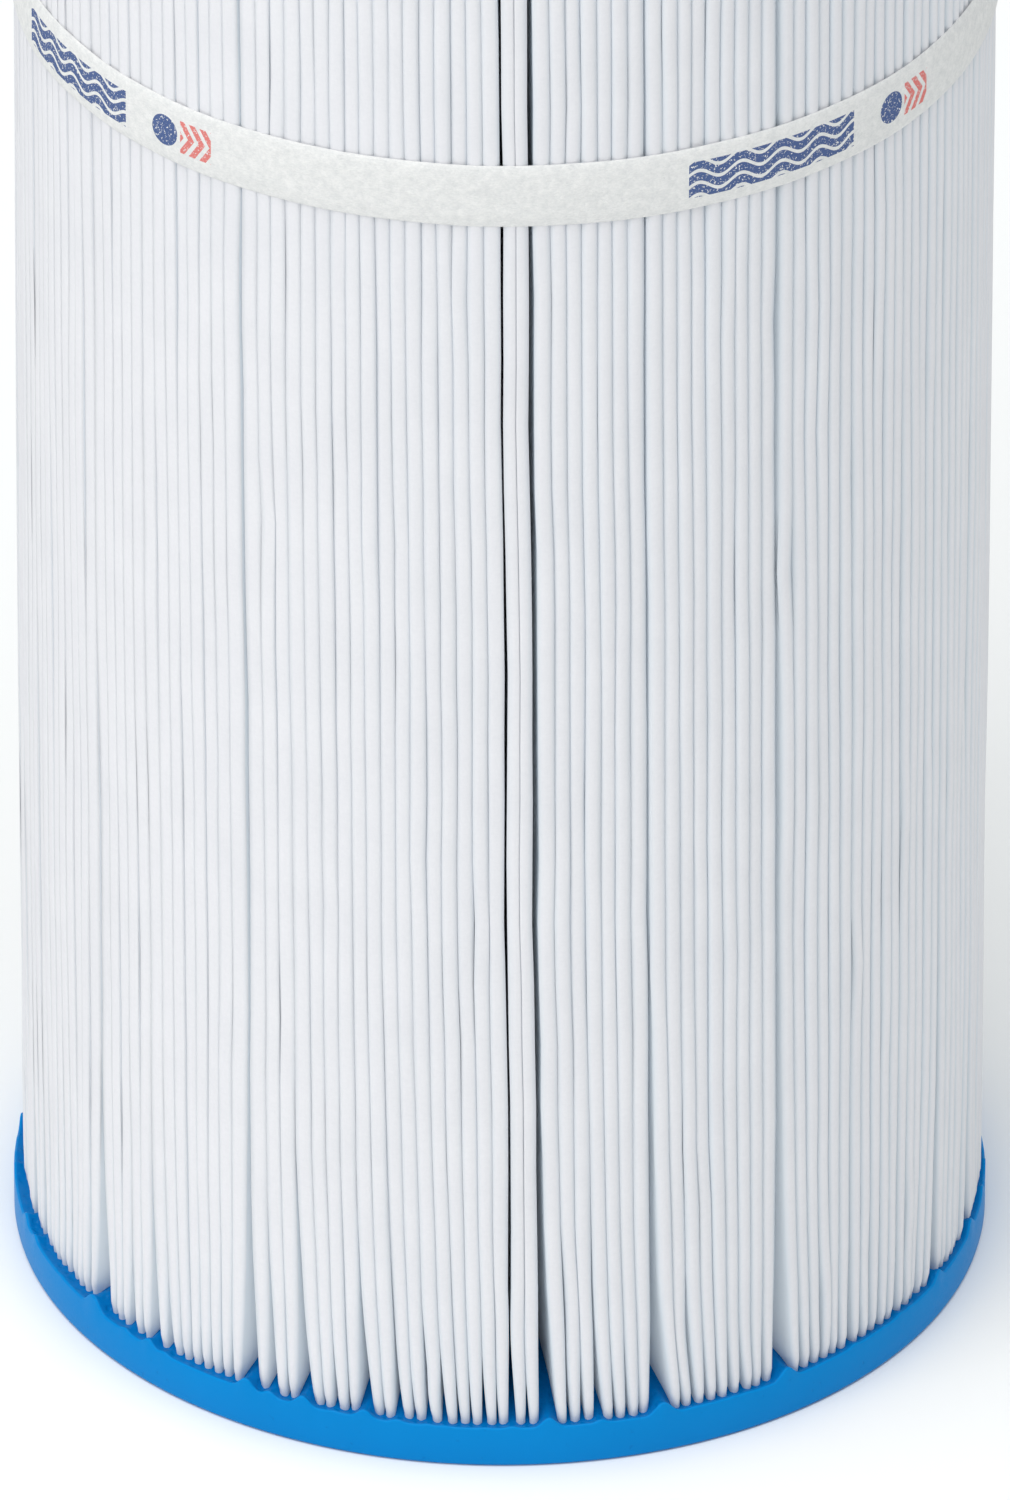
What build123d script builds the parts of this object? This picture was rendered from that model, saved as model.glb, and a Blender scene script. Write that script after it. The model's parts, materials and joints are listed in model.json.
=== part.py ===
"""Pleated filter cartridge for a pool filter, built up as its separate pieces.

The cartridge stands on its lower end cap, with the axis of its bore along +Z and the origin at the
centre of the lower cap's sealing face.
"""
from build123d import *
import math
import os

os.makedirs("parts", exist_ok=True)

# Driving dimensions, in millimetres and degrees
cartridge_diameter = 177.8
cartridge_length = 498.5
bore_diameter = 76.2

cap_rim_height = 8.5
cap_rim_wall = 1.4
cap_potting_floor = 5.0
cap_lip_wall = 1.7
cap_edge_round = 0.9
cap_lip_round = 0.4

core_inner_radius = 40.0
core_wall = 3.0
core_positions = ("lower", "middle", "upper")
core_joint_length = 6.0
core_joint_clearance = 0.1
window_columns = 12
window_rows = 9
window_width = 15.0
window_height = 12.5

pleat_count = 192
media_thickness = 0.5
tip_fold_radius = 0.95
root_fold_radius = 0.55
root_clearance = 0.2
seam_angle = 70.0
seam_bead_length = 12.0

strap_width = 11.5
strap_thickness = 0.8
strap_height = 264.0
strap_clearance = 0.05
strap_lap_angle = 135.0
strap_lap_length = 30.0
strap_bond_thickness = 0.15
strap_step_length = 1.5
strap_end_gap = 0.4

# Sizes that follow from the driving dimensions
cap_radius = cartridge_diameter / 2
bore_radius = bore_diameter / 2
trough_outer_radius = cap_radius - cap_rim_wall
trough_inner_radius = bore_radius + cap_lip_wall
potted_length = cartridge_length - 2 * cap_potting_floor

core_outer_radius = core_inner_radius + core_wall
core_joint_radius = core_inner_radius + core_wall / 2
core_section_pitch = (potted_length - core_joint_length) / len(core_positions)
window_pitch = core_section_pitch / window_rows

pleat_pitch = 360 / pleat_count
tip_centre_radius = trough_outer_radius - tip_fold_radius
root_centre_radius = core_outer_radius + root_clearance + root_fold_radius

strap_inner_radius = trough_outer_radius + strap_clearance
strap_outer_radius = strap_inner_radius + strap_thickness
lap_inner_radius = strap_outer_radius + strap_bond_thickness
lap_outer_radius = lap_inner_radius + strap_thickness


def polar(radius, angle):
    """The point at a radius from the cartridge's axis and an angle from +X."""
    return Vector(radius, 0).rotate(Axis.Z, angle)


def save(part, node):
    """Label a finished piece and write it as its own STEP file."""
    part.label = node
    export_step(part, f"parts/{node}.step")


# End caps: cast urethane rings, each with a trough that the pleats and the core are potted in
with BuildPart() as bottom_end_cap:
    with BuildSketch():
        Circle(cap_radius)
        Circle(bore_radius, mode=Mode.SUBTRACT)
    extrude(amount=cap_rim_height)
    with BuildSketch(Plane.XY.offset(cap_potting_floor)):
        Circle(trough_outer_radius)
        Circle(trough_inner_radius, mode=Mode.SUBTRACT)
    extrude(amount=cap_rim_height - cap_potting_floor, mode=Mode.SUBTRACT)
    fillet(bottom_end_cap.edges().group_by(Axis.Z)[0], radius=cap_edge_round)
    fillet(bottom_end_cap.edges().group_by(Axis.Z)[-1], radius=cap_lip_round)

with BuildPart() as top_end_cap:
    mirror(bottom_end_cap.part, about=Plane.XY.offset(cartridge_length / 2))

save(bottom_end_cap.part, "bottom_end_cap")
save(top_end_cap.part, "top_end_cap")

# Core: three alike moulded lattice tubes, each with a spigot that enters the next one's socket
for index, position in enumerate(core_positions):
    section_base = cap_potting_floor + index * core_section_pitch
    window_centre = (0, 0, section_base + core_section_pitch / 2)
    with BuildPart() as core_section:
        with BuildSketch(Plane.XY.offset(section_base)):
            Circle(core_outer_radius)
            Circle(core_inner_radius, mode=Mode.SUBTRACT)
        extrude(amount=core_section_pitch)
        with BuildSketch(Plane.XY.offset(section_base)):
            Circle(core_joint_radius)
        extrude(amount=core_joint_length, mode=Mode.SUBTRACT)
        with BuildSketch(Plane.XY.offset(section_base + core_section_pitch)):
            Circle(core_joint_radius - core_joint_clearance)
            Circle(core_inner_radius, mode=Mode.SUBTRACT)
        extrude(amount=core_joint_length)
        for column in range(window_columns // 2):
            facing = polar(1, (column + 0.5) * 360 / window_columns)
            with BuildSketch(Plane(origin=window_centre, x_dir=(0, 0, 1), z_dir=facing)):
                with GridLocations(window_pitch, 0, window_rows, 1):
                    Rectangle(window_height, window_width)
            extrude(amount=core_outer_radius + core_wall, both=True, mode=Mode.SUBTRACT)
    save(core_section.part, f"core_section_{position}")


# Pleated media: one long sheet folded back and forth round the core. The tip folds lie against the
# caps' rims and the root folds round the core, and each flank is a flat wall that touches both.
def flank(tip_round, root_round, side):
    """Both ends of the flank beside the tip fold at angle 0, from its tip end to its root end.

    The flank's line touches the tip fold on the inside of the line and the root fold on its
    outside. side is 1 for the flank at the larger angle and -1 for the one at the smaller angle.
    """
    tip_centre = polar(tip_centre_radius, 0)
    root_centre = polar(root_centre_radius, side * pleat_pitch / 2)
    reach = root_centre - tip_centre
    lean = math.degrees(math.asin((tip_round + root_round) / reach.length))
    across = reach.normalized().rotate(Axis.Z, -side * (90 - lean))
    return tip_centre + across * tip_round, root_centre - across * root_round


def sheet_face(tip_round, root_round):
    """The edges of one face of the folded sheet, from the seam all the way round to the seam."""
    rise_tip, rise_root = flank(tip_round, root_round, -1)
    fall_tip, fall_root = flank(tip_round, root_round, 1)
    tip = polar(tip_centre_radius + tip_round, 0)
    root = polar(root_centre_radius - root_round, pleat_pitch / 2)
    next_rise_root = rise_root.rotate(Axis.Z, pleat_pitch)
    edges = []
    for pleat in range(pleat_count):
        turn = seam_angle + (pleat + 0.5) * pleat_pitch
        edges.append(Edge.make_line(rise_root, rise_tip).rotate(Axis.Z, turn))
        edges.append(Edge.make_three_point_arc(rise_tip, tip, fall_tip).rotate(Axis.Z, turn))
        edges.append(Edge.make_line(fall_tip, fall_root).rotate(Axis.Z, turn))
        if pleat < pleat_count - 1:
            fold = Edge.make_three_point_arc(fall_root, root, next_rise_root)
            edges.append(fold.rotate(Axis.Z, turn))
    return edges


outer_face = sheet_face(tip_fold_radius, root_fold_radius - media_thickness)
inner_face = sheet_face(tip_fold_radius - media_thickness, root_fold_radius)
first_end = Edge.make_line(outer_face[0] @ 0, inner_face[0] @ 0)
last_end = Edge.make_line(outer_face[-1] @ 1, inner_face[-1] @ 1)

with BuildPart() as pleated_media:
    with BuildSketch(Plane.XY.offset(cap_potting_floor)):
        with BuildLine():
            add([*outer_face, last_end, *inner_face, first_end])
        make_face()
    extrude(amount=potted_length)

save(pleated_media.part, "pleated_media")

# Side seam: a hot-melt bead that fills the last fold's root, between the sheet's two ends
seam_start = outer_face[0]
seam_finish = outer_face[-1]
bead_reach = seam_bead_length / seam_start.length

with BuildPart() as side_seam_bead:
    with BuildSketch(Plane.XY.offset(cap_potting_floor)):
        with BuildLine():
            Polyline(
                seam_start @ 0,
                seam_start @ bead_reach,
                seam_finish @ (1 - bead_reach),
                seam_finish @ 1,
                close=True,
            )
        make_face()
    extrude(amount=potted_length)

save(side_seam_bead.part, "side_seam_bead")


# Strap: a band of nonwoven ribbon round the pleat tips, whose outer end laps over its inner end
def ring_sector(inner_radius, outer_radius, start_angle, end_angle):
    """The part of a flat ring between two radii and two angles."""
    outer_arc = [polar(outer_radius, start_angle), polar(outer_radius, end_angle)]
    inner_arc = [polar(inner_radius, end_angle), polar(inner_radius, start_angle)]
    with BuildSketch() as sector:
        with BuildLine():
            RadiusArc(*outer_arc, -outer_radius)
            Line(outer_arc[1], inner_arc[0])
            RadiusArc(*inner_arc, inner_radius)
            Line(inner_arc[1], outer_arc[0])
        make_face()
    return sector.sketch


def arc_angle(length):
    """The angle that a length along the strap takes up."""
    return math.degrees(length / strap_outer_radius)


lap_start = strap_lap_angle - arc_angle(strap_lap_length) / 2
lap_end = strap_lap_angle + arc_angle(strap_lap_length) / 2
step_start = lap_start - arc_angle(strap_step_length)
inner_end = lap_start + arc_angle(strap_end_gap)

step = ring_sector(strap_outer_radius, lap_outer_radius, step_start, lap_start)
lap = ring_sector(lap_inner_radius, lap_outer_radius, lap_start, lap_end)
end_gap = ring_sector(strap_inner_radius, strap_outer_radius, lap_start, inner_end)
bond_film = ring_sector(strap_outer_radius, lap_inner_radius, inner_end, lap_end)
strap_base = Plane.XY.offset(strap_height - strap_width / 2)

with BuildPart() as pleat_strap:
    with BuildSketch(strap_base):
        Circle(strap_outer_radius)
        Circle(strap_inner_radius, mode=Mode.SUBTRACT)
        add([step, lap])
        add(end_gap, mode=Mode.SUBTRACT)
    extrude(amount=strap_width)

save(pleat_strap.part, "pleat_strap")

# Strap bond: the film of hot-melt adhesive between the strap's lapped ends
with BuildPart() as strap_bond:
    with BuildSketch(strap_base):
        add(bond_film)
    extrude(amount=strap_width)

save(strap_bond.part, "strap_bond")
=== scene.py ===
"""The look of a pleated pool filter cartridge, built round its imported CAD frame.

Every piece is in metres, in the frame's own axes: +Z up the cartridge's axis, the origin at the
centre of the lower cap's sealing face, and -Y towards the camera.
"""
import bpy
import json
import math
import numpy as np
from collections import namedtuple
from mathutils import Matrix, Vector


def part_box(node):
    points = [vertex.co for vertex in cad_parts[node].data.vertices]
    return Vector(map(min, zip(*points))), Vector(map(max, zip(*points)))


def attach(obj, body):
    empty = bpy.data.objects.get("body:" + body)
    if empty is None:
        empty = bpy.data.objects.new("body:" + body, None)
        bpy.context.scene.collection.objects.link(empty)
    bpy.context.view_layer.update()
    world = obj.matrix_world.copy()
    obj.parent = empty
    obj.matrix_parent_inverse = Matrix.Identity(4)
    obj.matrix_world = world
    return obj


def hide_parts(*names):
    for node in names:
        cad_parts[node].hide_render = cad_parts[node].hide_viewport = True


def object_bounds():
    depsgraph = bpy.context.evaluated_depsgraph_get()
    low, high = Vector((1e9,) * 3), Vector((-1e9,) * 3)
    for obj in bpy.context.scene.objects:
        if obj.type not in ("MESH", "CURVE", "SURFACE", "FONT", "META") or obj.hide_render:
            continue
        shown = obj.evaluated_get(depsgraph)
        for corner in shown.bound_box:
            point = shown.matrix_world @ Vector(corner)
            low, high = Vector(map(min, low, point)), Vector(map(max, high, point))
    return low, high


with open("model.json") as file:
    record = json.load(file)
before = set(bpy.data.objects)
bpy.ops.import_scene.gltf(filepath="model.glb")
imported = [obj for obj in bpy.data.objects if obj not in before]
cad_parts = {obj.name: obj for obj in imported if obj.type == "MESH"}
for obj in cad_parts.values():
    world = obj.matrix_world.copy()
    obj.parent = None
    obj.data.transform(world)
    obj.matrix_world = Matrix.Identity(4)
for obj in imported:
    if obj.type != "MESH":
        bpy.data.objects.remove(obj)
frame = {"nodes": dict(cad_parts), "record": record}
cad_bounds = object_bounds()

MM = 0.001


def half_width(node):
    """Half a node's width along X, which is its outer radius."""
    low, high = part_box(node)
    return (high[0] - low[0]) / 2


def mount_radius(name):
    """The radius that the record gives one of its bore mounts, in metres."""
    mounts = {mount["name"]: mount for mount in frame["record"]["mounts"]}
    return mounts[name]["dims"]["r_mm"] * MM


# Sizes read from the frame
cartridge_length = cad_bounds[1][2]
cap_radius = half_width("bottom_end_cap")
rim_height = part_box("bottom_end_cap")[1][2]
bore_radius = mount_radius("bottom_bore")
core_radius = half_width("core_section_lower")
tip_radius = half_width("pleated_media")
media_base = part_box("pleated_media")[0][2]
strap_radius = half_width("pleat_strap")
strap_base, strap_top = (corner[2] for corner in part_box("pleat_strap"))
strap_height = (strap_base + strap_top) / 2
strap_width = strap_top - strap_base

# Folds: most of each pleat is broad, and its ends narrow to fingers where they enter the caps.
# The rounds are a fold's depth as a share of its half width.
PLEAT_COUNT = 192
FOLD_HALF_WIDTH = 0.95 * MM
FOLD_ROUND = 0.4
FINGER_HALF_WIDTH = 0.72 * MM
FINGER_ROUND = 0.8
FINGER_TAPER = 15 * MM
FOLD_CLEARANCE = 0.018 * MM

# Shoulders: where a fold is widest, just behind its tip. Folds lie flatter towards -X.
SHOULDER_HALF_WIDTH = 1.52 * MM
SHOULDER_DEPTH = 0.22 * MM
FINGER_SHOULDER = 1.15 * FINGER_HALF_WIDTH
FLANK_SPREAD = 0.5 * MM
FOLD_FLATTENING = 0.88

# Roots: where the sheet turns back at the core
ROOT_CLEARANCE = 0.3 * MM
ROOT_HALF_WIDTH = 0.42 * MM
ROOT_DEPTH = 0.35 * MM

# The pack as a whole: how far up the bunching fades, how far it leans along the ring for each
# metre of height, how far it is shifted in the lower cap, and how far the strap draws it in
BUNCH_REACH = 34 * MM
PACK_LEAN = -0.0105
PACK_SHIFT = 0.5 * MM
SHIFT_REACH = 90 * MM
STRAP_SQUEEZE = 0.45 * MM
SQUEEZE_REACH = 90 * MM

# The tips' tuck inwards where they enter the urethane, and how much it narrows them
TUCK_DEPTH = 0.5 * MM
TUCK_REACH = 0.8 * MM
TUCK_NARROWING = 0.1

# Unevenness from pleat to pleat (scatter), along each one (waves) and in short places (kinks).
# The wander is sideways, the swell is in width, and the depth is how far out a tip stands.
TIP_SCATTER = 0.12 * MM
PACK_WANDER = 0.10 * MM
FOLD_WANDER = 0.05 * MM
KINK_WANDER = 0.27 * MM
KINK_SWELL = 0.11
KINK_REACH = (6 * MM, 11 * MM)
KINKS_PER_PLEAT = 4
SWELL_WAVE = 0.04
SWELL_SCATTER = 0.05
FINGER_SCATTER = 0.13
DEPTH_WAVE = 0.10 * MM
DEPTH_SCATTER = 0.12 * MM
DEPTH_LIMIT = 0.12 * MM
OVERTONE_SIZE = 0.6
OVERTONE_RATE = 1.63

# Levels up the pleats: the steps in both end zones and the middle, which add up to a multiple of
# the roots' coarse step, and which level is the one by a cap's rim
TIP_BASE = media_base + 2 * MM
END_ZONE = 30 * MM
END_STEPS = 12
END_CROWDING = 1.6
MIDDLE_STEPS = 33
COARSE_STEP = 3
RIM_LEVEL = 2

# Bunches of pleats along the front, from left to right: how many pleats each one has, and how much
# wider than the rest the step to the next bunch is, at the lower cap and at mid height, in
# millimetres. A negative step presses two bunches together.
FRONT_START = -105.0 * MM
FRONT_BUNCHES = (
    (5, 0.6, 0.0), (4, 4.3, 1.3), (3, 1.2, 0.0), (2, 2.2, 0.4), (1, 0.7, 0.0), (7, 3.4, 1.4),
    (1, 1.5, 0.0), (2, 2.5, 0.3), (4, 2.1, 0.2), (2, 1.1, 0.0), (2, 0.7, 0.0), (1, 0.4, 0.0),
    (5, 0.7, 0.85), (1, -0.1, -1.3), (1, 3.1, 1.3), (3, 1.2, 0.0), (4, 3.6, 0.9), (5, 0.4, 0.0),
    (4, 3.8, 1.3), (6, 0.8, 0.3), (3, 0.5, 0.0), (2, 1.1, 0.0), (5, 2.7, 0.5),
)
LARGEST_BUNCH = 6


def random_bunches(count, random):
    """Bunches in the same form for this many pleats: the larger a bunch, the wider the gap after it."""
    bunches = []
    left = count
    while left > 0:
        size = min(int(random.integers(1, LARGEST_BUNCH + 1)), left)
        gap = random.uniform(0.7, 1.5) + 0.4 * size * random.uniform(0.4, 1.0)
        bunches.append((size, gap, gap * random.uniform(0.0, 0.5)))
        left -= size
    return bunches


def tip_places(bunches, column, random):
    """Where the tips stand round the ring, in metres along it, from one column of the bunches."""
    steps = []
    for bunch in bunches:
        steps += [0.0] * (bunch[0] - 1) + [bunch[column] * MM]
    steps = np.array(steps)
    steps += (2 * math.pi * tip_radius - steps.sum()) / PLEAT_COUNT
    uneven = random.normal(0, TIP_SCATTER, PLEAT_COUNT)
    return FRONT_START + np.cumsum(steps) - steps[0] + uneven


def smooth_round(values, width):
    """Values round a closed ring, smoothed by a bell of this many steps."""
    count = values.shape[-1]
    reach = np.minimum(np.arange(count), count - np.arange(count))
    bell = np.exp(-0.5 * (reach / width) ** 2)
    spectrum = np.fft.rfft(bell / bell.sum())
    return np.fft.irfft(np.fft.rfft(values, axis=-1) * spectrum, count)


def tip_levels():
    """Heights up the pleats, close together at the caps and even in between."""
    ramp = np.arange(END_STEPS + 1) / END_STEPS
    lower = TIP_BASE + END_ZONE * ramp ** END_CROWDING
    upper = cartridge_length - lower[::-1]
    middle = np.linspace(lower[-1], upper[0], MIDDLE_STEPS + 1)
    return np.concatenate([lower, middle[1:-1], upper])


def from_angle(radius, angle, height):
    """Points from their radius, their angle right of the front, and their height."""
    return np.stack([radius * np.sin(angle), -radius * np.cos(angle), height], axis=-1)


# The form of every fold, each value an array of levels by pleats. The angle and radius are its
# tip's, the width is half of the whole, and the shoulders are how far it reaches left and right.
Folds = namedtuple("Folds", "angle width depth shoulders shoulder_radius radius")


class PleatTips:
    """The line of every fold tip, from the lower cap to the upper one."""

    def __init__(self, random):
        back_count = PLEAT_COUNT - sum(bunch[0] for bunch in FRONT_BUNCHES)
        lower = list(FRONT_BUNCHES) + random_bunches(back_count, random)
        upper = random_bunches(PLEAT_COUNT, random)
        self.at_base = tip_places(lower, 1, random)
        self.at_middle = tip_places(lower, 2, random)
        self.at_top = tip_places(upper, 1, random)
        for places in (self.at_middle, self.at_top):
            places += (self.at_base - places).mean()
        self.z = tip_levels()
        self.wander = self.waves(random, PACK_WANDER, length=150 * MM, kinship=6)
        self.wander += self.waves(random, FOLD_WANDER, length=52 * MM, kinship=0.6)
        self.wander += self.kinks(random, KINK_WANDER)
        self.swell = 1 + self.waves(random, SWELL_WAVE, length=120 * MM, kinship=0.5)
        self.swell += self.kinks(random, KINK_SWELL)
        self.swell += random.normal(0, SWELL_SCATTER, PLEAT_COUNT)
        self.finger_swell = random.normal(0, FINGER_SCATTER, PLEAT_COUNT)
        self.proud = self.waves(random, DEPTH_WAVE, length=170 * MM, kinship=0.5)
        self.proud += random.normal(0, DEPTH_SCATTER, PLEAT_COUNT)

    def waves(self, random, size, length, kinship):
        """A slow wandering along each pleat, shared between neighbours as far as kinship steps."""
        phase = random.uniform(0, 2 * math.pi, (2, PLEAT_COUNT))
        cosine = smooth_round(np.cos(phase), kinship)
        sine = smooth_round(np.sin(phase), kinship)
        cosine /= np.sqrt((cosine ** 2).mean())
        sine /= np.sqrt((sine ** 2).mean())
        turn = 2 * math.pi * self.z[:, None] / length
        wave = np.cos(turn) * cosine[0] + np.sin(turn) * sine[0]
        faster = OVERTONE_RATE * turn
        wave += OVERTONE_SIZE * (np.cos(faster) * cosine[1] + np.sin(faster) * sine[1])
        return size * wave

    def kinks(self, random, size):
        """Short dents where a fold was pinched, a few to a pleat."""
        total = np.zeros((len(self.z), PLEAT_COUNT))
        for _ in range(KINKS_PER_PLEAT):
            height = random.uniform(0, cartridge_length, PLEAT_COUNT)
            reach = random.uniform(*KINK_REACH, PLEAT_COUNT)
            dent = random.normal(0, size, PLEAT_COUNT)
            total += dent * np.exp(-((self.z[:, None] - height) / reach) ** 2)
        return total

    def shape(self):
        """The form of every fold, worked out from its tip's line."""
        above = np.maximum(self.z - rim_height, 0)[:, None]
        below = np.maximum(cartridge_length - rim_height - self.z, 0)[:, None]
        # From -1 at the far left to 1 at the far right
        rightness = np.sin(self.at_base / tip_radius)

        place = self.at_middle + np.exp(-above / BUNCH_REACH) * (self.at_base - self.at_middle)
        place = place + np.exp(-below / BUNCH_REACH) * (self.at_top - self.at_middle) + self.wander
        place += PACK_LEAN * above
        step = np.diff(place, axis=1, append=place[:, :1] + 2 * math.pi * tip_radius)
        room_after = step / 2 - FOLD_CLEARANCE
        room_before = np.roll(room_after, 1, axis=1)

        taper = np.maximum(np.exp(-above / FINGER_TAPER), np.exp(-below / FINGER_TAPER))
        tuck = np.exp(-above / TUCK_REACH) + np.exp(-below / TUCK_REACH)
        width = FOLD_HALF_WIDTH + (FINGER_HALF_WIDTH - FOLD_HALF_WIDTH) * taper
        width = width * (self.swell + self.finger_swell * taper)
        width = np.minimum(width * (1 - TUCK_NARROWING * tuck), np.minimum(room_before, room_after))
        spread = SHOULDER_HALF_WIDTH + FLANK_SPREAD * np.clip(-rightness, 0, 1)
        shoulder = spread + (FINGER_SHOULDER - spread) * taper
        shoulders = (np.minimum(shoulder, room_before), np.minimum(shoulder, room_after))

        shift = PACK_SHIFT * rightness * np.exp(-above / SHIFT_REACH)
        squeeze = STRAP_SQUEEZE * np.exp(-(((self.z - strap_height) / SQUEEZE_REACH) ** 2))
        radius = tip_radius + np.minimum(self.proud, DEPTH_LIMIT) - TUCK_DEPTH * tuck
        radius = radius + (shift - squeeze[:, None])
        fullness = 1 - FOLD_FLATTENING * (1 - rightness) / 2
        depth = width * (FOLD_ROUND * fullness * (1 - taper) + FINGER_ROUND * taper)
        shoulder_radius = radius - depth - SHOULDER_DEPTH * fullness
        return Folds(place / tip_radius, width, depth, shoulders, shoulder_radius, radius)


def build_mesh(name, points, faces):
    """A smooth-shaded object from points and faces."""
    mesh = bpy.data.meshes.new(name)
    mesh.from_pydata(points.tolist(), [], faces)
    mesh.shade_smooth()
    mesh.validate()
    piece = bpy.data.objects.new(name, mesh)
    bpy.context.scene.collection.objects.link(piece)
    return piece


def sheet_columns(z, folds):
    """One pleat's lines up the sheet, from root to root, for every pleat at once."""
    heights = np.broadcast_to(z[:, None], folds.angle.shape)
    pleat_angle = 2 * math.pi / PLEAT_COUNT
    even_place = (np.arange(PLEAT_COUNT) - PLEAT_COUNT / 2 + 0.5) * pleat_angle
    root = even_place + folds.angle.mean(axis=1, keepdims=True)
    centre_radius = folds.radius - folds.depth
    root_radius = core_radius + ROOT_CLEARANCE
    root_half = ROOT_HALF_WIDTH / root_radius

    def fold_line(turn):
        """The line at an angle round the fold's tip."""
        sideways = folds.width * math.sin(turn) / centre_radius
        return from_angle(centre_radius + folds.depth * math.cos(turn), folds.angle + sideways, heights)

    def shoulder_line(side):
        """The line a little way behind the tip, where the fold is widest."""
        sideways = -folds.shoulders[0] if side < 0 else folds.shoulders[1]
        return from_angle(folds.shoulder_radius, folds.angle + sideways / tip_radius, heights)

    def root_line(side):
        """The line where a flank meets the root fold, or the middle of that fold for side 0."""
        reach = root_radius + (ROOT_DEPTH if side else 0.0)
        offset = side * (pleat_angle / 2 - root_half) if side else -pleat_angle / 2
        return from_angle(reach, root + offset, heights)

    flank = [root_line(0), root_line(-1)]
    fold = [shoulder_line(-1), *map(fold_line, np.radians([-60, -30, 0, 30, 60])), shoulder_line(1)]
    columns = flank + fold + [root_line(1)]
    is_fine = [False] * len(flank) + [True] * len(fold) + [False]
    return columns, is_fine


def pleated_sheet(z, folds):
    """The whole folded sheet: fine levels up each tip's lines, and coarse ones up its roots."""
    columns, is_fine = sheet_columns(z, folds)
    fine_count = len(z)
    coarse_count = len(range(0, fine_count, COARSE_STEP))

    points = []
    sunk = []
    for column, fine_column in zip(columns, is_fine):
        step = 1 if fine_column else COARSE_STEP
        points.append(column[::step].transpose(1, 0, 2).reshape(-1, 3))
        below_tip = folds.radius - np.hypot(column[..., 0], column[..., 1])
        sunk.append(below_tip[::step].T.reshape(-1))
    starts = [0, *np.cumsum([len(block) for block in points])[:-1]]

    def index(column, pleat, level):
        """The number of a point in the mesh."""
        if is_fine[column]:
            return int(starts[column] + pleat * fine_count + level)
        return int(starts[column] + pleat * coarse_count + level // COARSE_STEP)

    def level_steps(column, step):
        """How far apart a column's points are inside a face that is this many levels high."""
        return 1 if is_fine[column] else step

    faces = []
    last = len(columns)
    for pleat in range(PLEAT_COUNT):
        for column in range(last):
            after = (column + 1) % last
            pleat_after = (pleat + (column + 1) // last) % PLEAT_COUNT
            step = 1 if is_fine[column] and is_fine[after] else COARSE_STEP
            for low in range(0, fine_count - 1, step):
                rising = range(low, low + step + 1, level_steps(after, step))
                falling = range(low + step, low - 1, -level_steps(column, step))
                edge_after = [index(after, pleat_after, level) for level in rising]
                edge_here = [index(column, pleat, level) for level in falling]
                faces.append(edge_after + edge_here)
    piece = build_mesh("filter_pleats", np.concatenate(points), faces)
    # The depth below each tip is stored for the cloth's painted shade between the folds.
    depth_below_tip = piece.data.attributes.new("depth_below_tip", "FLOAT", "POINT")
    depth_below_tip.data.foreach_set("value", np.concatenate(sunk).astype(np.float32))
    return piece


# Caps: a rim that rises between the bunches, by how far a place is from its nearest tip
RING_STEPS = PLEAT_COUNT * 7
CAP_EDGE_ROUND = 0.9 * MM
RIM_EDGE_ROUND = 0.35 * MM
RIM_DROP = 0.5 * MM
RIM_GAP_RISE = 2.7 * MM
GAP_START = 0.85 * MM
GAP_SPAN = 1.2 * MM
GAP_SMOOTHING = 0.9 * MM
RIPPLE_HEIGHT = 0.12 * MM
RIPPLE_STEPS = 14
CORE_CLEARANCE = 0.05 * MM
COLLAR_WIDTH = 1.6 * MM
COLLAR_DROP = 0.3 * MM
COLLAR_ROUND = 0.4 * MM

# The cap's top, as millimetres in from its wall and up from the wall's top: first the part that
# rises in the gaps, then the urethane that climbs between the pleats
RIM_SLOPE = ((0.8, -0.05), (1.5, -0.45), (2.6, -0.4))
CAST_CLIMB = ((7, 2.4), (12, 4.2))
CAST_TOP = 4.4


def quarter_round(centre_r, centre_z, size, start, steps=3):
    """Points of a quarter circle in the cap's section, as (radius, height) pairs."""
    turns = np.radians(start + np.linspace(0, 90, steps + 1))
    return [(centre_r + size * math.cos(turn), centre_z + size * math.sin(turn)) for turn in turns]


def cap_section():
    """The cap's outline as (radius, height) pairs, and which of them rise in the gaps."""
    rim_top = rim_height - RIM_DROP
    seat = core_radius + CORE_CLEARANCE
    collar = bore_radius + COLLAR_WIDTH
    edge = CAP_EDGE_ROUND
    outline = quarter_round(bore_radius + edge, edge, edge, 180)
    outline += [(0.5 * (bore_radius + cap_radius), 0.0)]
    outline += quarter_round(cap_radius - edge, edge, edge, 270)
    outline += [(cap_radius, 0.5 * rim_height)]
    rim_start = len(outline)
    edge = RIM_EDGE_ROUND
    outline += quarter_round(cap_radius - edge, rim_top - edge, edge, 0)
    outline += [(cap_radius - inwards * MM, rim_top + up * MM) for inwards, up in RIM_SLOPE]
    rim_end = len(outline)
    outline += [(cap_radius - inwards * MM, rim_top + up * MM) for inwards, up in CAST_CLIMB]
    outline += [(seat, rim_top + CAST_TOP * MM), (seat, media_base)]
    outline += [(collar, media_base), (collar, rim_height - COLLAR_DROP)]
    edge = COLLAR_ROUND
    outline += quarter_round(bore_radius + edge, rim_height - edge, edge, 90)
    return outline, range(rim_start, rim_end)


def gap_openness(tip_angles, ring):
    """How open the rim is at each angle: 0 at a fold tip and 1 in the middle of a wide gap."""
    apart = np.abs((ring[:, None] - tip_angles[None, :] + math.pi) % (2 * math.pi) - math.pi)
    distance = apart.min(axis=1) * tip_radius
    openness = np.clip((distance - GAP_START) / GAP_SPAN, 0, 1)
    return smooth_round(openness, GAP_SMOOTHING / (2 * math.pi * cap_radius / RING_STEPS))


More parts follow.
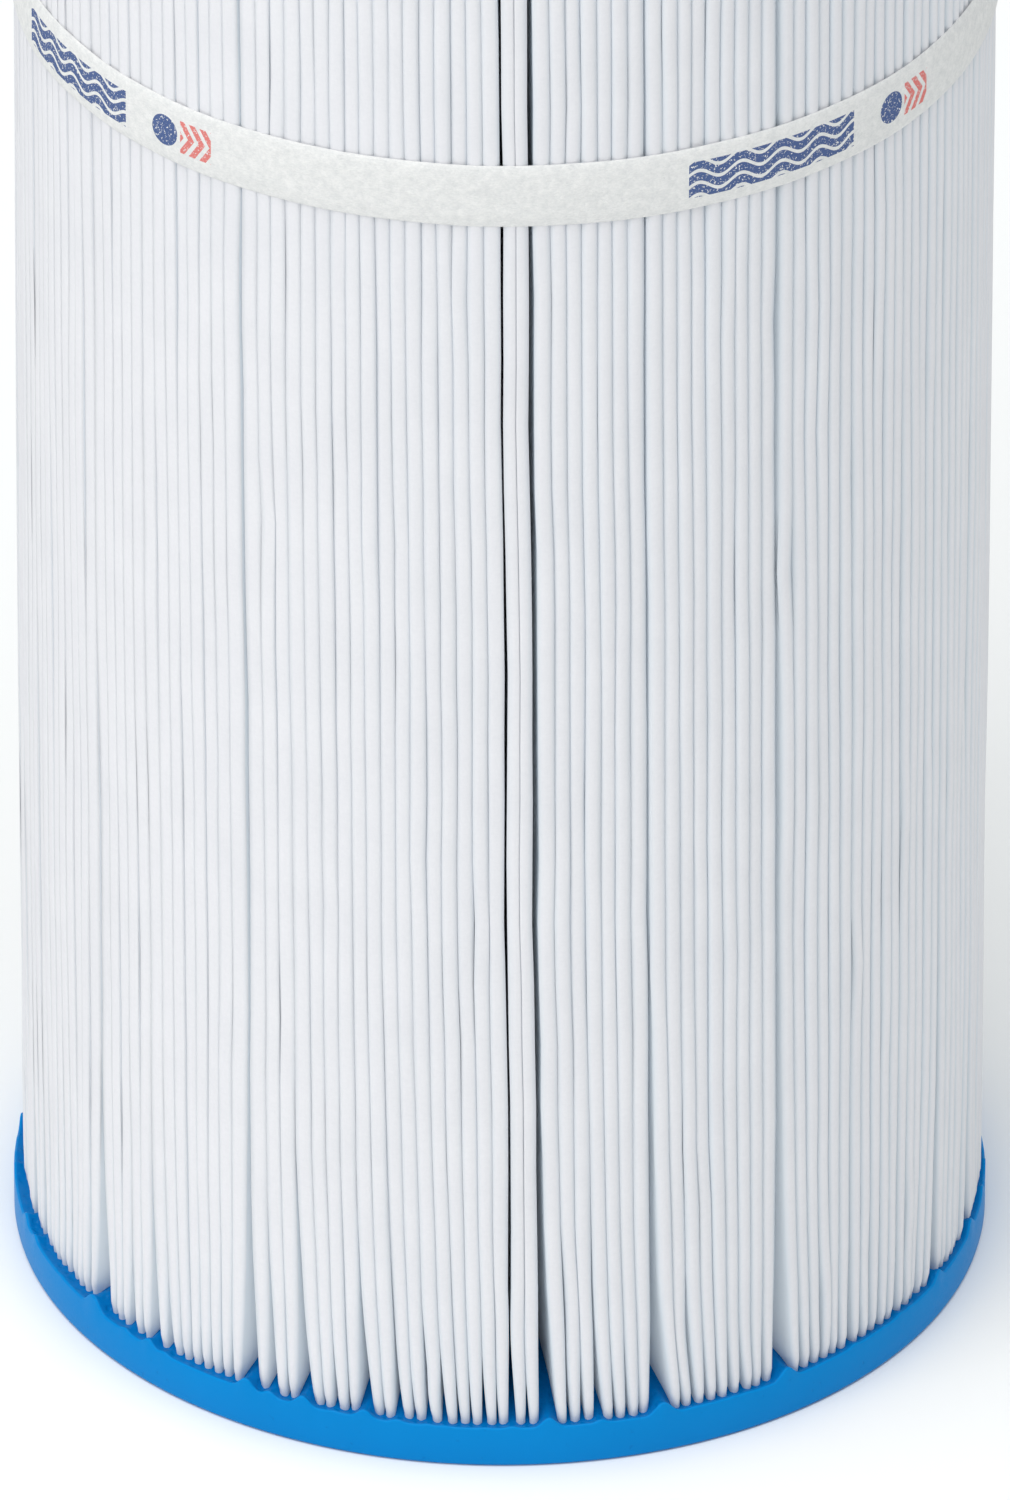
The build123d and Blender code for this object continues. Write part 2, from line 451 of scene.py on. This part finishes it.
def end_cap(name, tip_angles, upside_down, random):
    """A cast ring with a wavy rim: higher at the gaps between the bunches of pleats."""
    ring = np.linspace(-math.pi, math.pi, RING_STEPS, endpoint=False)
    ripple = smooth_round(random.normal(0, 1, RING_STEPS), RIPPLE_STEPS)
    rise = RIM_GAP_RISE * gap_openness(tip_angles, ring)
    rise = rise + RIPPLE_HEIGHT * ripple / np.abs(ripple).max()
    outline, rim_rows = cap_section()
    count = len(outline)
    rows = np.zeros((count, RING_STEPS, 3))
    for row, (radius, height) in enumerate(outline):
        lift = rise if row in rim_rows else 0 * rise
        rows[row] = from_angle(np.full(RING_STEPS, radius), ring, height + lift)
    if upside_down:
        rows[..., 2] = cartridge_length - rows[..., 2]
    faces = []
    for row in range(count):
        here = row * RING_STEPS
        above = (row + 1) % count * RING_STEPS
        for step in range(RING_STEPS):
            beside = (step + 1) % RING_STEPS
            corners = [here + step, here + beside, above + beside, above + step]
            faces.append(corners[::-1] if upside_down else corners)
    return build_mesh(name, rows.reshape(-1, 3), faces)


# Strap: a ribbon that rests just outside the squeezed tips and bobs up and down a little
RIBBON_THICKNESS = 0.7 * MM
RIBBON_SPREAD = 0.35 * MM
RIBBON_LIFT = 0.1 * MM
RIBBON_STEPS = 1200
LAP_ANGLE = math.radians(225)
LAP_LENGTH = 30 * MM
LAP_CLEARANCE = 0.15 * MM
LAP_CLIMB_TURN = 0.03
BOB_HEIGHT = 0.18 * MM
BOB_STEPS = 61

# The ribbon's thinning towards its edge: how far in, in millimetres, and the share of its thickness
RIBBON_EDGE = ((0.0, 0.15), (0.4, 0.42), (1.3, 0.78), (2.8, 1.0))


def strap_ribbon(random):
    """A ribbon wound once round the tips, its outer end lapped over its inner end."""
    inner = tip_radius + RIBBON_LIFT - STRAP_SQUEEZE
    lap = LAP_LENGTH / strap_radius
    turn = np.linspace(0, 2 * math.pi + lap, RIBBON_STEPS)
    angle = LAP_ANGLE - lap / 2 + turn
    climbed = np.clip((turn - 2 * math.pi + LAP_CLIMB_TURN) / LAP_CLIMB_TURN, 0, 1)
    climb = climbed ** 2 * (3 - 2 * climbed) * (RIBBON_THICKNESS + LAP_CLEARANCE)
    unsteady = random.normal(0, 1, RIBBON_STEPS + BOB_STEPS - 1)
    bob = np.convolve(unsteady, np.hanning(BOB_STEPS), "valid")
    bob = BOB_HEIGHT * bob / np.abs(bob).max()
    half = strap_width / 2 + RIBBON_SPREAD
    lower_edge = [(-half + inwards * MM, RIBBON_THICKNESS * share) for inwards, share in RIBBON_EDGE]
    upper_edge = [(-up, out) for up, out in lower_edge[::-1]]
    loop = lower_edge + upper_edge + [(half, 0.0), (-half, 0.0)]
    rows = [from_angle(inner + climb + out, angle, strap_height + bob + up) for up, out in loop]
    count = len(loop)
    faces = []
    for row in range(count):
        here = row * RIBBON_STEPS
        above = (row + 1) % count * RIBBON_STEPS
        for step in range(RIBBON_STEPS - 1):
            faces.append([here + step, here + step + 1, above + step + 1, above + step])
    faces.append([row * RIBBON_STEPS for row in range(count)])
    faces.append([row * RIBBON_STEPS + RIBBON_STEPS - 1 for row in range(count - 1, -1, -1)])
    return build_mesh("strap_ribbon", np.array(rows).reshape(-1, 3), faces)


random = np.random.default_rng(7)
tips = PleatTips(random)
folds = tips.shape()

pleats = pleated_sheet(tips.z, folds)
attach(pleats, "root")
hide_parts("pleated_media")

lower_cap = end_cap("lower_cap_cast", folds.angle[RIM_LEVEL], False, random)
upper_cap = end_cap("upper_cap_cast", folds.angle[-1 - RIM_LEVEL], True, random)
for cap, node in ((lower_cap, "bottom_end_cap"), (upper_cap, "top_end_cap")):
    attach(cap, "root")
    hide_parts(node)

strap = strap_ribbon(random)
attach(strap, "root")
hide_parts("pleat_strap")


# Materials
def link_or_set(tree, socket, value):
    """Link a socket from another one, or set it to a plain value."""
    if isinstance(value, bpy.types.NodeSocket):
        tree.links.new(value, socket)
    else:
        socket.default_value = value


def add_node(tree, kind, inputs=None, **settings):
    """A shader node with its settings, its inputs given as values or as sockets to link from."""
    node = tree.nodes.new(kind)
    for name, value in settings.items():
        setattr(node, name, value)
    for name, value in (inputs or {}).items():
        link_or_set(tree, node.inputs[name], value)
    return node


def new_material(name):
    """An empty node material: its tree, its Principled shader and its object coordinates."""
    material = bpy.data.materials.new(name)
    material.use_nodes = True
    tree = material.node_tree
    shader = tree.nodes["Principled BSDF"]
    place = add_node(tree, "ShaderNodeTexCoord").outputs["Object"]
    return material, tree, shader, place


def math_node(tree, operation, *values):
    """The result of a Math node on numbers or sockets."""
    inputs = dict(enumerate(values))
    return add_node(tree, "ShaderNodeMath", inputs, operation=operation).outputs[0]


def plus(tree, first, second):
    """The sum of two values."""
    return math_node(tree, "ADD", first, second)


def minus(tree, first, second):
    """The first value less the second."""
    return math_node(tree, "SUBTRACT", first, second)


def times(tree, first, second):
    """The product of two values, which is 1 where two masks are both 1."""
    return math_node(tree, "MULTIPLY", first, second)


def between(tree, value, low, high):
    """1 where a value lies between two limits."""
    above = math_node(tree, "GREATER_THAN", value, low)
    return times(tree, above, math_node(tree, "LESS_THAN", value, high))


def noise(tree, place, scale, detail=3.0, roughness=0.5):
    """A noise value, with scale in features per metre."""
    inputs = {"Vector": place, "Scale": scale, "Detail": detail, "Roughness": roughness}
    return add_node(tree, "ShaderNodeTexNoise", inputs).outputs["Fac"]


def stretched(tree, place, x, y, z):
    """Coordinates scaled along each axis, to draw out a texture."""
    inputs = {"Vector": place, "Scale": (x, y, z)}
    return add_node(tree, "ShaderNodeMapping", inputs).outputs["Vector"]


def split_axes(tree, place):
    """The X, Y and Z of coordinates, as sockets by name."""
    return add_node(tree, "ShaderNodeSeparateXYZ", {"Vector": place}).outputs


def blend_colours(tree, factor, first, second):
    """A mix of two colours."""
    inputs = {0: factor, 6: first, 7: second}
    return add_node(tree, "ShaderNodeMix", inputs, data_type="RGBA").outputs[2]


def remap(tree, value, low, high, to_low, to_high):
    """A value moved from one range to another, held inside it."""
    inputs = {0: value, 1: low, 2: high, 3: to_low, 4: to_high}
    return add_node(tree, "ShaderNodeMapRange", inputs).outputs[0]


def bump(tree, height, strength, distance):
    """A bump normal from a height."""
    inputs = {"Height": height, "Strength": strength, "Distance": distance}
    return add_node(tree, "ShaderNodeBump", inputs).outputs["Normal"]


def connect(tree, shader, **sockets):
    """Link sockets to the shader's inputs, or set them to plain values."""
    for name, value in sockets.items():
        link_or_set(tree, shader.inputs[name.replace("_", " ")], value)


# Depths below the fold tips over which the painted blue-grey shade between the folds comes in
PAINTED_SHADE_DEPTHS = (0.05 * MM, 0.55 * MM)


def pleat_fabric():
    """White spunbonded polyester: a web of fine fibres, faintly cloudy, with painted blue-grey shade
    between the folds.
    """
    material, tree, shader, place = new_material("spunbonded_polyester")
    clouds = noise(tree, place, 90, 3)
    fibres = noise(tree, stretched(tree, place, 1, 1, 0.35), 2600, 4, 0.65)
    crossing = noise(tree, stretched(tree, place, 0.4, 0.4, 1), 2100, 4, 0.65)
    web = plus(tree, times(tree, fibres, 0.5), times(tree, crossing, 0.5))
    tone = remap(tree, plus(tree, times(tree, clouds, 0.6), web), 0.55, 1.05, 0, 1)
    colour = blend_colours(tree, tone, (0.765, 0.764, 0.792, 1), (0.825, 0.82, 0.844, 1))
    # Painted shade: the cloth turns a darker blue-grey the deeper it lies below its fold tip.
    depth = add_node(tree, "ShaderNodeAttribute", attribute_name="depth_below_tip").outputs["Fac"]
    painted_fold_shade = remap(tree, depth, *PAINTED_SHADE_DEPTHS, 0, 1)
    colour = blend_colours(tree, painted_fold_shade, colour, (0.695, 0.745, 0.795, 1))
    roughness = remap(tree, web, 0.3, 0.7, 0.82, 0.97)
    normal = bump(tree, web, 0.25, 0.12 * MM)
    connect(tree, shader, Base_Color=colour, Roughness=roughness, Normal=normal, Specular_IOR_Level=0.3)
    return material


# The mould shapes the outer skin of a cap's wall up to a little under the rim. Inside that skin and
# above that height the urethane sets free, glossier and bubbled, and there its colour is also darkened
# as painted shade on the cap's top.
SKIN_DEPTHS = (0.5 * MM, 0.2 * MM)
FREE_SET_AND_SHADE_DROP = 1.6 * MM


def free_set_and_shade_mask(tree, place):
    """1 where the urethane set free, inside the rims of both caps, which is also where the cap's top
    gets painted shade.
    """
    axes = split_axes(tree, place)
    level_axes = {"X": axes["X"], "Y": axes["Y"], "Z": 0.0}
    flat_place = add_node(tree, "ShaderNodeCombineXYZ", level_axes).outputs["Vector"]
    radius = add_node(tree, "ShaderNodeVectorMath", {0: flat_place}, operation="LENGTH").outputs["Value"]
    inner_depth, outer_depth = SKIN_DEPTHS
    inside_wall = remap(tree, radius, cap_radius - inner_depth, cap_radius - outer_depth, 1, 0)
    from_middle = math_node(tree, "ABSOLUTE", minus(tree, axes["Z"], cartridge_length / 2))
    free_height = cartridge_length / 2 - rim_height + FREE_SET_AND_SHADE_DROP
    return times(tree, inside_wall, math_node(tree, "LESS_THAN", from_middle, free_height))


def cast_urethane():
    """Bright blue urethane: satin where the mould shaped it, glossy and bubbled where it set free, with
    painted shade darkening that top.
    """
    material, tree, shader, place = new_material("cast_urethane_blue")
    set_free_and_shaded = free_set_and_shade_mask(tree, place)
    clouds = noise(tree, place, 45, 2)
    grain = noise(tree, place, 1900, 3, 0.6)
    pits = remap(tree, noise(tree, place, 700, 2), 0.68, 0.78, 0, 1)
    colour = blend_colours(tree, clouds, (0.0, 0.225, 0.60, 1), (0.0, 0.25, 0.65, 1))
    colour = blend_colours(tree, times(tree, pits, 0.35), colour, (0.0, 0.13, 0.45, 1))
    # Painted shade: the set-free top of the cap is darkened to a deeper blue.
    colour = blend_colours(tree, times(tree, set_free_and_shaded, 0.75), colour, (0.0, 0.145, 0.45, 1))
    cells = add_node(tree, "ShaderNodeTexVoronoi", {"Vector": place, "Scale": 620.0})
    bubbles = times(tree, remap(tree, cells.outputs["Distance"], 0.2, 0.42, 0, 1), set_free_and_shaded)
    height = minus(tree, times(tree, grain, 0.15), times(tree, pits, 0.3))
    height = plus(tree, height, times(tree, bubbles, 2.0))
    satin = remap(tree, grain, 0.3, 0.7, 0.34, 0.46)
    roughness = minus(tree, satin, times(tree, set_free_and_shaded, 0.2))
    normal = bump(tree, height, 0.3, 0.3 * MM)
    connect(tree, shader, Base_Color=colour, Roughness=roughness, Normal=normal, Specular_IOR_Level=0.07)
    return material


# The mark printed along the strap: where the first one starts, right of the front, and how far on
# the next one starts. Its sizes are in millimetres along the strap and up from its middle line,
# WAVE_TURN is in radians a millimetre, and CHEVRON_LEAN is millimetres back for each one away from
# that line.
MARK_START = math.radians(22)
MARK_REPEAT = math.radians(93)
WAVES_ALONG = (0.2, 35.0)
WAVES_HALF_HEIGHT = 3.6
WAVE_PITCH = 2.4
WAVE_BAND = 1.7
WAVE_SWING = 0.9
WAVE_TURN = 0.76
DOT_ALONG = 44.9
DOT_RADIUS = 3.0
CHEVRONS_ALONG = (48.6, 55.5)
CHEVRONS_HALF_HEIGHT = 3.2
CHEVRON_PITCH = 2.4
CHEVRON_BAND = 1.4
CHEVRON_LEAN = 0.7
INK_STRENGTH = 0.92


def wave_print(tree, along, up):
    """1 on the printed block of waves."""
    ripple = times(tree, math_node(tree, "SINE", times(tree, along, WAVE_TURN)), WAVE_SWING)
    climb = plus(tree, minus(tree, up, ripple), WAVES_HALF_HEIGHT)
    band = between(tree, math_node(tree, "FLOORED_MODULO", climb, WAVE_PITCH), 0.0, WAVE_BAND)
    inside = between(tree, up, -WAVES_HALF_HEIGHT, WAVES_HALF_HEIGHT)
    return times(tree, band, times(tree, between(tree, along, *WAVES_ALONG), inside))


def dot_print(tree, along, up):
    """1 on the printed dot."""
    across = math_node(tree, "POWER", minus(tree, along, DOT_ALONG), 2.0)
    distance = math_node(tree, "SQRT", plus(tree, across, math_node(tree, "POWER", up, 2.0)))
    return math_node(tree, "LESS_THAN", distance, DOT_RADIUS)


def chevron_print(tree, along, up):
    """1 on the printed chevrons."""
    lean = plus(tree, along, times(tree, math_node(tree, "ABSOLUTE", up), CHEVRON_LEAN))
    band = between(tree, math_node(tree, "FLOORED_MODULO", lean, CHEVRON_PITCH), 0.0, CHEVRON_BAND)
    inside = between(tree, up, -CHEVRONS_HALF_HEIGHT, CHEVRONS_HALF_HEIGHT)
    return times(tree, band, times(tree, between(tree, along, *CHEVRONS_ALONG), inside))


def strap_fabric():
    """Off-white nonwoven ribbon with a repeated printed mark: a wave block, a dot and chevrons."""
    material, tree, shader, place = new_material("printed_nonwoven")
    axes = split_axes(tree, place)
    turn = math_node(tree, "ARCTAN2", axes["X"], times(tree, axes["Y"], -1.0))
    mark_turn = math_node(tree, "FLOORED_MODULO", minus(tree, turn, MARK_START), MARK_REPEAT)
    along = times(tree, mark_turn, strap_radius / MM)
    up = times(tree, minus(tree, axes["Z"], strap_height), 1 / MM)
    speckle = noise(tree, place, 2300, 3, 0.7)
    inked = math_node(tree, "LESS_THAN", speckle, 0.6)
    blue_print = math_node(tree, "MAXIMUM", wave_print(tree, along, up), dot_print(tree, along, up))
    blue = times(tree, blue_print, inked)
    red = times(tree, chevron_print(tree, along, up), inked)
    clumps = noise(tree, place, 620, 4, 0.65)
    fibres = noise(tree, stretched(tree, place, 1, 1, 2.2), 1500, 4, 0.7)
    tone = remap(tree, plus(tree, clumps, fibres), 0.75, 1.25, 0, 1)
    colour = blend_colours(tree, tone, (0.73, 0.735, 0.73, 1), (0.88, 0.875, 0.86, 1))
    colour = blend_colours(tree, times(tree, blue, INK_STRENGTH), colour, (0.018, 0.07, 0.25, 1))
    colour = blend_colours(tree, times(tree, red, INK_STRENGTH), colour, (0.75, 0.17, 0.15, 1))
    roughness = remap(tree, fibres, 0.3, 0.7, 0.84, 0.98)
    normal = bump(tree, plus(tree, times(tree, clumps, 0.6), fibres), 0.6, 0.3 * MM)
    connect(tree, shader, Base_Color=colour, Roughness=roughness, Normal=normal, Specular_IOR_Level=0.3)
    return material


def core_plastic():
    """White moulded plastic with a faint flow pattern."""
    material, tree, shader, place = new_material("moulded_core_plastic")
    flow = noise(tree, stretched(tree, place, 1, 1, 0.3), 160, 4)
    grain = noise(tree, place, 2500, 2)
    colour = blend_colours(tree, flow, (0.76, 0.78, 0.77, 1), (0.84, 0.85, 0.84, 1))
    roughness = remap(tree, grain, 0.3, 0.7, 0.42, 0.55)
    normal = bump(tree, plus(tree, flow, times(tree, grain, 0.2)), 0.15, 0.3 * MM)
    connect(tree, shader, Base_Color=colour, Roughness=roughness, Normal=normal)
    return material


def hot_melt():
    """Cloudy hot-melt adhesive."""
    material, tree, shader, place = new_material("hot_melt_adhesive")
    clouds = noise(tree, place, 350, 3)
    colour = blend_colours(tree, clouds, (0.74, 0.70, 0.58, 1), (0.85, 0.83, 0.74, 1))
    roughness = remap(tree, clouds, 0.3, 0.7, 0.3, 0.45)
    normal = bump(tree, clouds, 0.3, 0.4 * MM)
    connect(tree, shader, Base_Color=colour, Roughness=roughness, Normal=normal)
    return material


def paint(piece, material):
    """Give a piece one material."""
    piece.data.materials.clear()
    piece.data.materials.append(material)


def paint_node(node, material):
    """Give a CAD node's material slots one material."""
    for slot in frame["nodes"][node].material_slots:
        slot.material = material


urethane = cast_urethane()
paint(pleats, pleat_fabric())
paint(lower_cap, urethane)
paint(upper_cap, urethane)
paint(strap, strap_fabric())
plastic = core_plastic()
for position in ("lower", "middle", "upper"):
    paint_node(f"core_section_{position}", plastic)
adhesive = hot_melt()
paint_node("side_seam_bead", adhesive)
paint_node("strap_bond", adhesive)


# Stage, light and camera
FLOOR_HALF = 6.0
KEY_LIGHT_WATTS = 15.6
TOP_LIGHT_WATTS = 53.5
SKY_COLOUR = (0.94, 0.98, 1, 1)
SKY_STRENGTH = 0.56
CAMERA_PLACE = (0.0388, -3.5, 2.2677)
CAMERA_PITCH = math.radians(31.81)
CAMERA_YAW = math.radians(-0.625)
CAMERA_ROLL = math.radians(-0.262)
CAMERA_LENS_MM = 546.2
CAMERA_SENSOR_MM = 36
CAMERA_CLIP_END = 50


def floor_material():
    """Plain pale floor."""
    material, tree, shader, place = new_material("pale_floor")
    tone = noise(tree, place, 3, 2)
    colour = blend_colours(tree, tone, (0.94, 0.94, 0.93, 1), (0.96, 0.96, 0.95, 1))
    connect(tree, shader, Base_Color=colour, Roughness=0.9, Specular_IOR_Level=0.1)
    return material


floor_points = np.array([(x, y, 0) for x, y in ((-1, -1), (1, -1), (1, 1), (-1, 1))]) * FLOOR_HALF
floor = build_mesh("floor", floor_points, [[0, 1, 2, 3]])
paint(floor, floor_material())


def area_light(name, place, target, size, power):
    """A soft square light that faces a target."""
    data = bpy.data.lights.new(name, "AREA")
    data.shape = "SQUARE"
    data.size = size
    data.energy = power
    light = bpy.data.objects.new(name, data)
    light.location = place
    light.rotation_euler = (Vector(target) - Vector(place)).to_track_quat("-Z", "Y").to_euler()
    bpy.context.scene.collection.objects.link(light)


centre = (0, 0, cartridge_length / 2)
area_light("key_light", (-2.0, -1.9, 1.7), centre, size=1.6, power=KEY_LIGHT_WATTS)
area_light("top_light", (-0.3, -0.6, 2.8), centre, size=2.2, power=TOP_LIGHT_WATTS)

world = bpy.data.worlds.new("studio")
bpy.context.scene.world = world
world.use_nodes = True
sky = world.node_tree.nodes["Background"]
sky.inputs["Color"].default_value = SKY_COLOUR
sky.inputs["Strength"].default_value = SKY_STRENGTH

camera_data = bpy.data.cameras.new("camera")
camera_data.lens = CAMERA_LENS_MM
camera_data.sensor_width = CAMERA_SENSOR_MM
camera_data.clip_end = CAMERA_CLIP_END
camera = bpy.data.objects.new("camera", camera_data)
bpy.context.scene.collection.objects.link(camera)
bpy.context.scene.camera = camera
aim = Matrix.Rotation(-CAMERA_YAW, 4, "Z") @ Matrix.Rotation(math.pi / 2 - CAMERA_PITCH, 4, "X")
camera.matrix_world = Matrix.Translation(CAMERA_PLACE) @ aim @ Matrix.Rotation(-CAMERA_ROLL, 4, "Z")

bpy.context.scene.view_settings.view_transform = "Standard"
